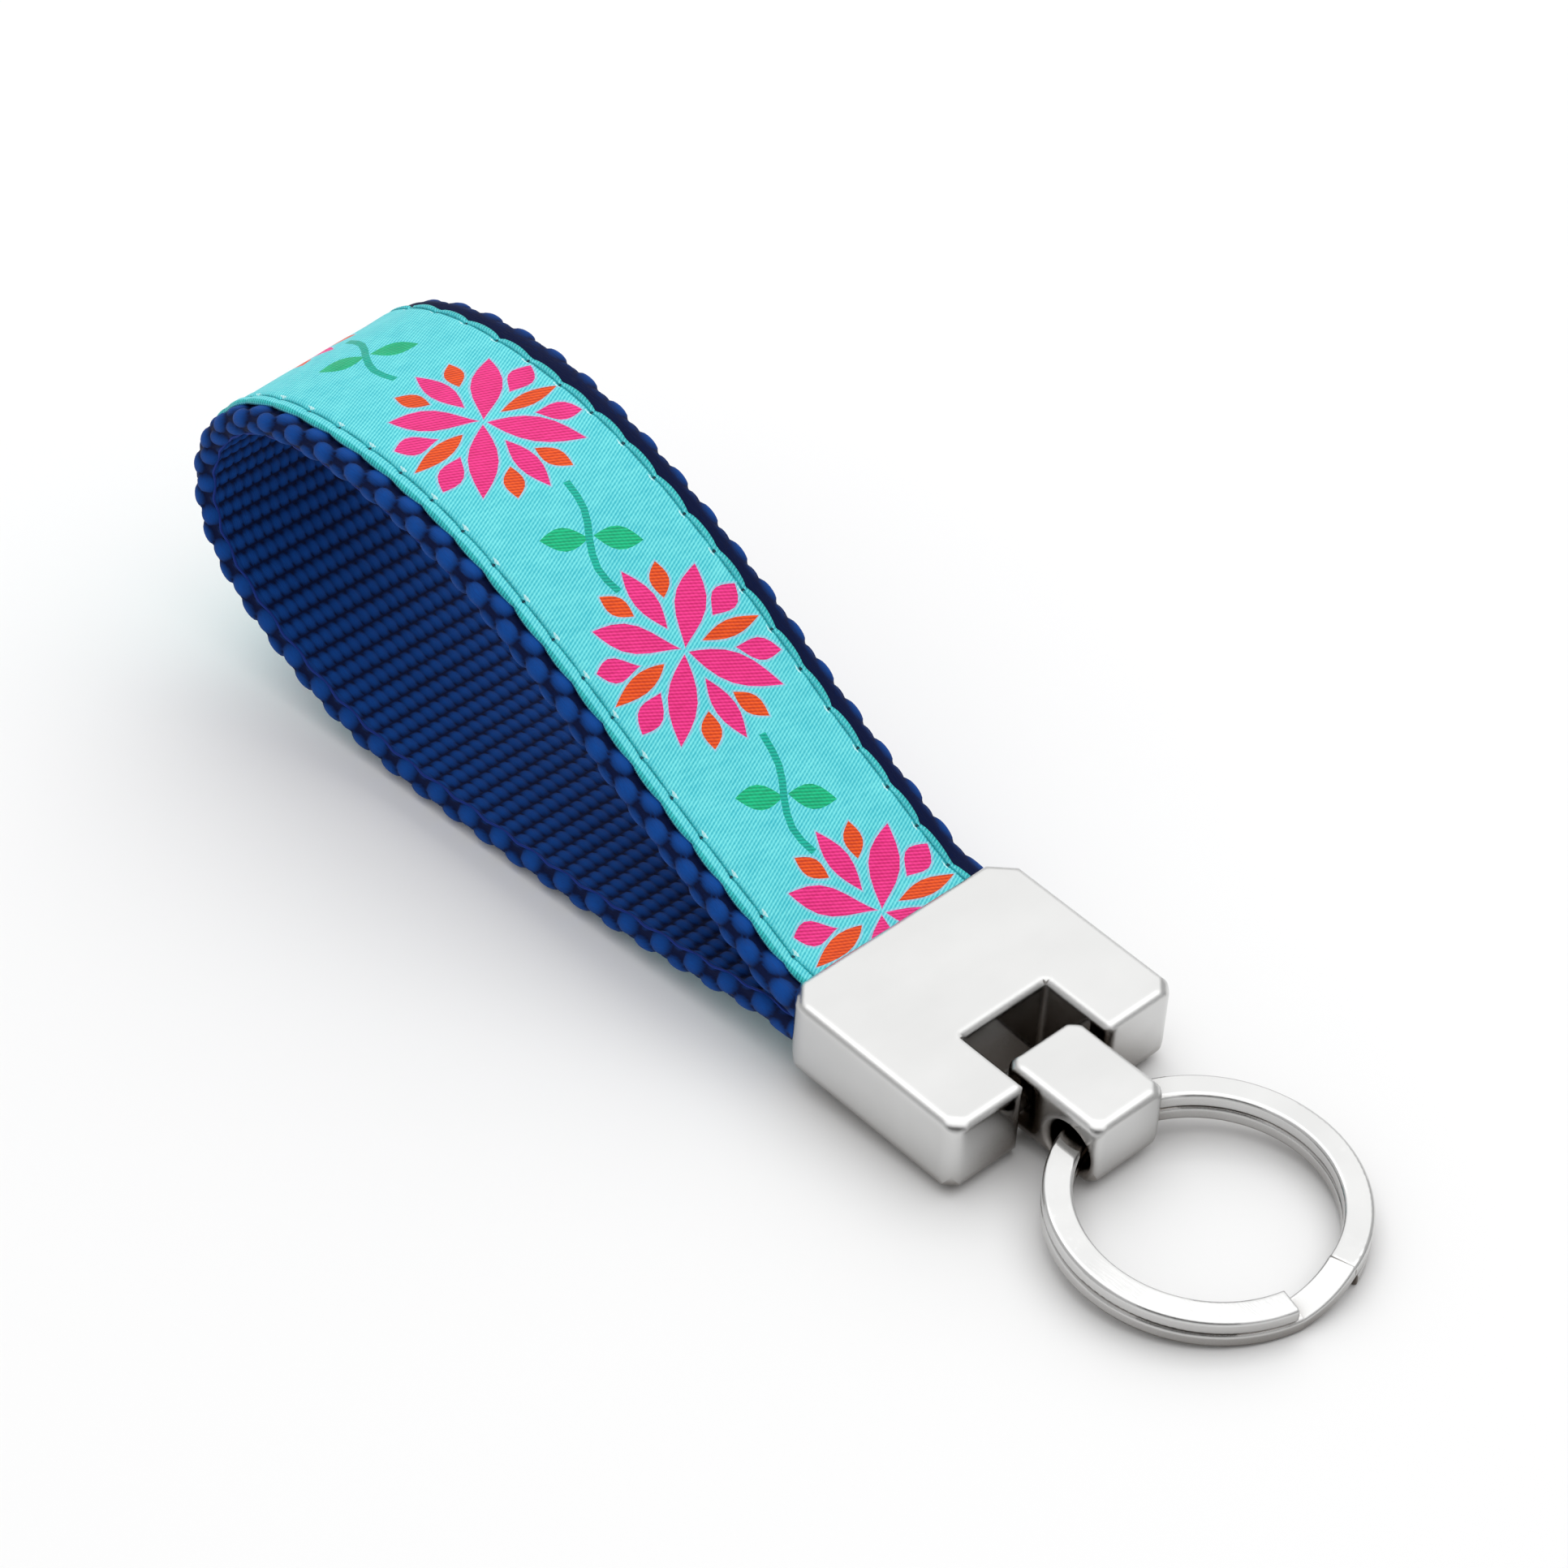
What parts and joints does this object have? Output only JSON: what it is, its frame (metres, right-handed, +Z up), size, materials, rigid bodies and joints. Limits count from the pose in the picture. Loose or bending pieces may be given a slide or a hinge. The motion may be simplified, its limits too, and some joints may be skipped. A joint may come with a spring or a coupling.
{
  "type": "wristlet keychain",
  "caption": "Webbing wrist loop with a sewn patterned ribbon, clamped in a metal end housing whose hinged lug carries a split key ring.",
  "frame": {"origin": "centre of the bounding box's underside, on the plane that the keychain lies on", "axes": "+X along the length from the loop to the split ring, +Y across the webbing, +Z up as it lies"},
  "size_m": [0.1454, 0.03, 0.0379],
  "materials": {
    "webbing_navy": "coarse woven, matt",
    "ribbon_floral": "fine twill, slight sheen",
    "thread_teal": "twisted thread",
    "nickel_plate": "polished",
    "spring_steel": "brushed",
    "ring_nickel": "polished"
  },
  "bodies": {
    "strap": {"webbing": "webbing_navy", "ribbon": "ribbon_floral", "stitch_row_left": "thread_teal", "stitch_row_right": "thread_teal", "clamp_housing": "nickel_plate", "clamp_plate": "spring_steel", "set_screws": "spring_steel", "hinge_pin": "spring_steel"},
    "lug": {"ring_lug": "nickel_plate"},
    "ring": {"split_ring": "ring_nickel"}
  },
  "joints": [
    {"name": "lug_fold", "type": "hinge", "parent": "strap", "child": "lug", "pos_m": [0.03759, 0, 0.00472], "axis": [0, -1, 0], "range_deg": [-90, 90]},
    {"name": "ring_swing", "type": "hinge", "parent": "lug", "child": "ring", "pos_m": [0.04447, 0, 0.00414], "axis": [0, -1, 0], "range_deg": [-90, 80]}
  ]
}
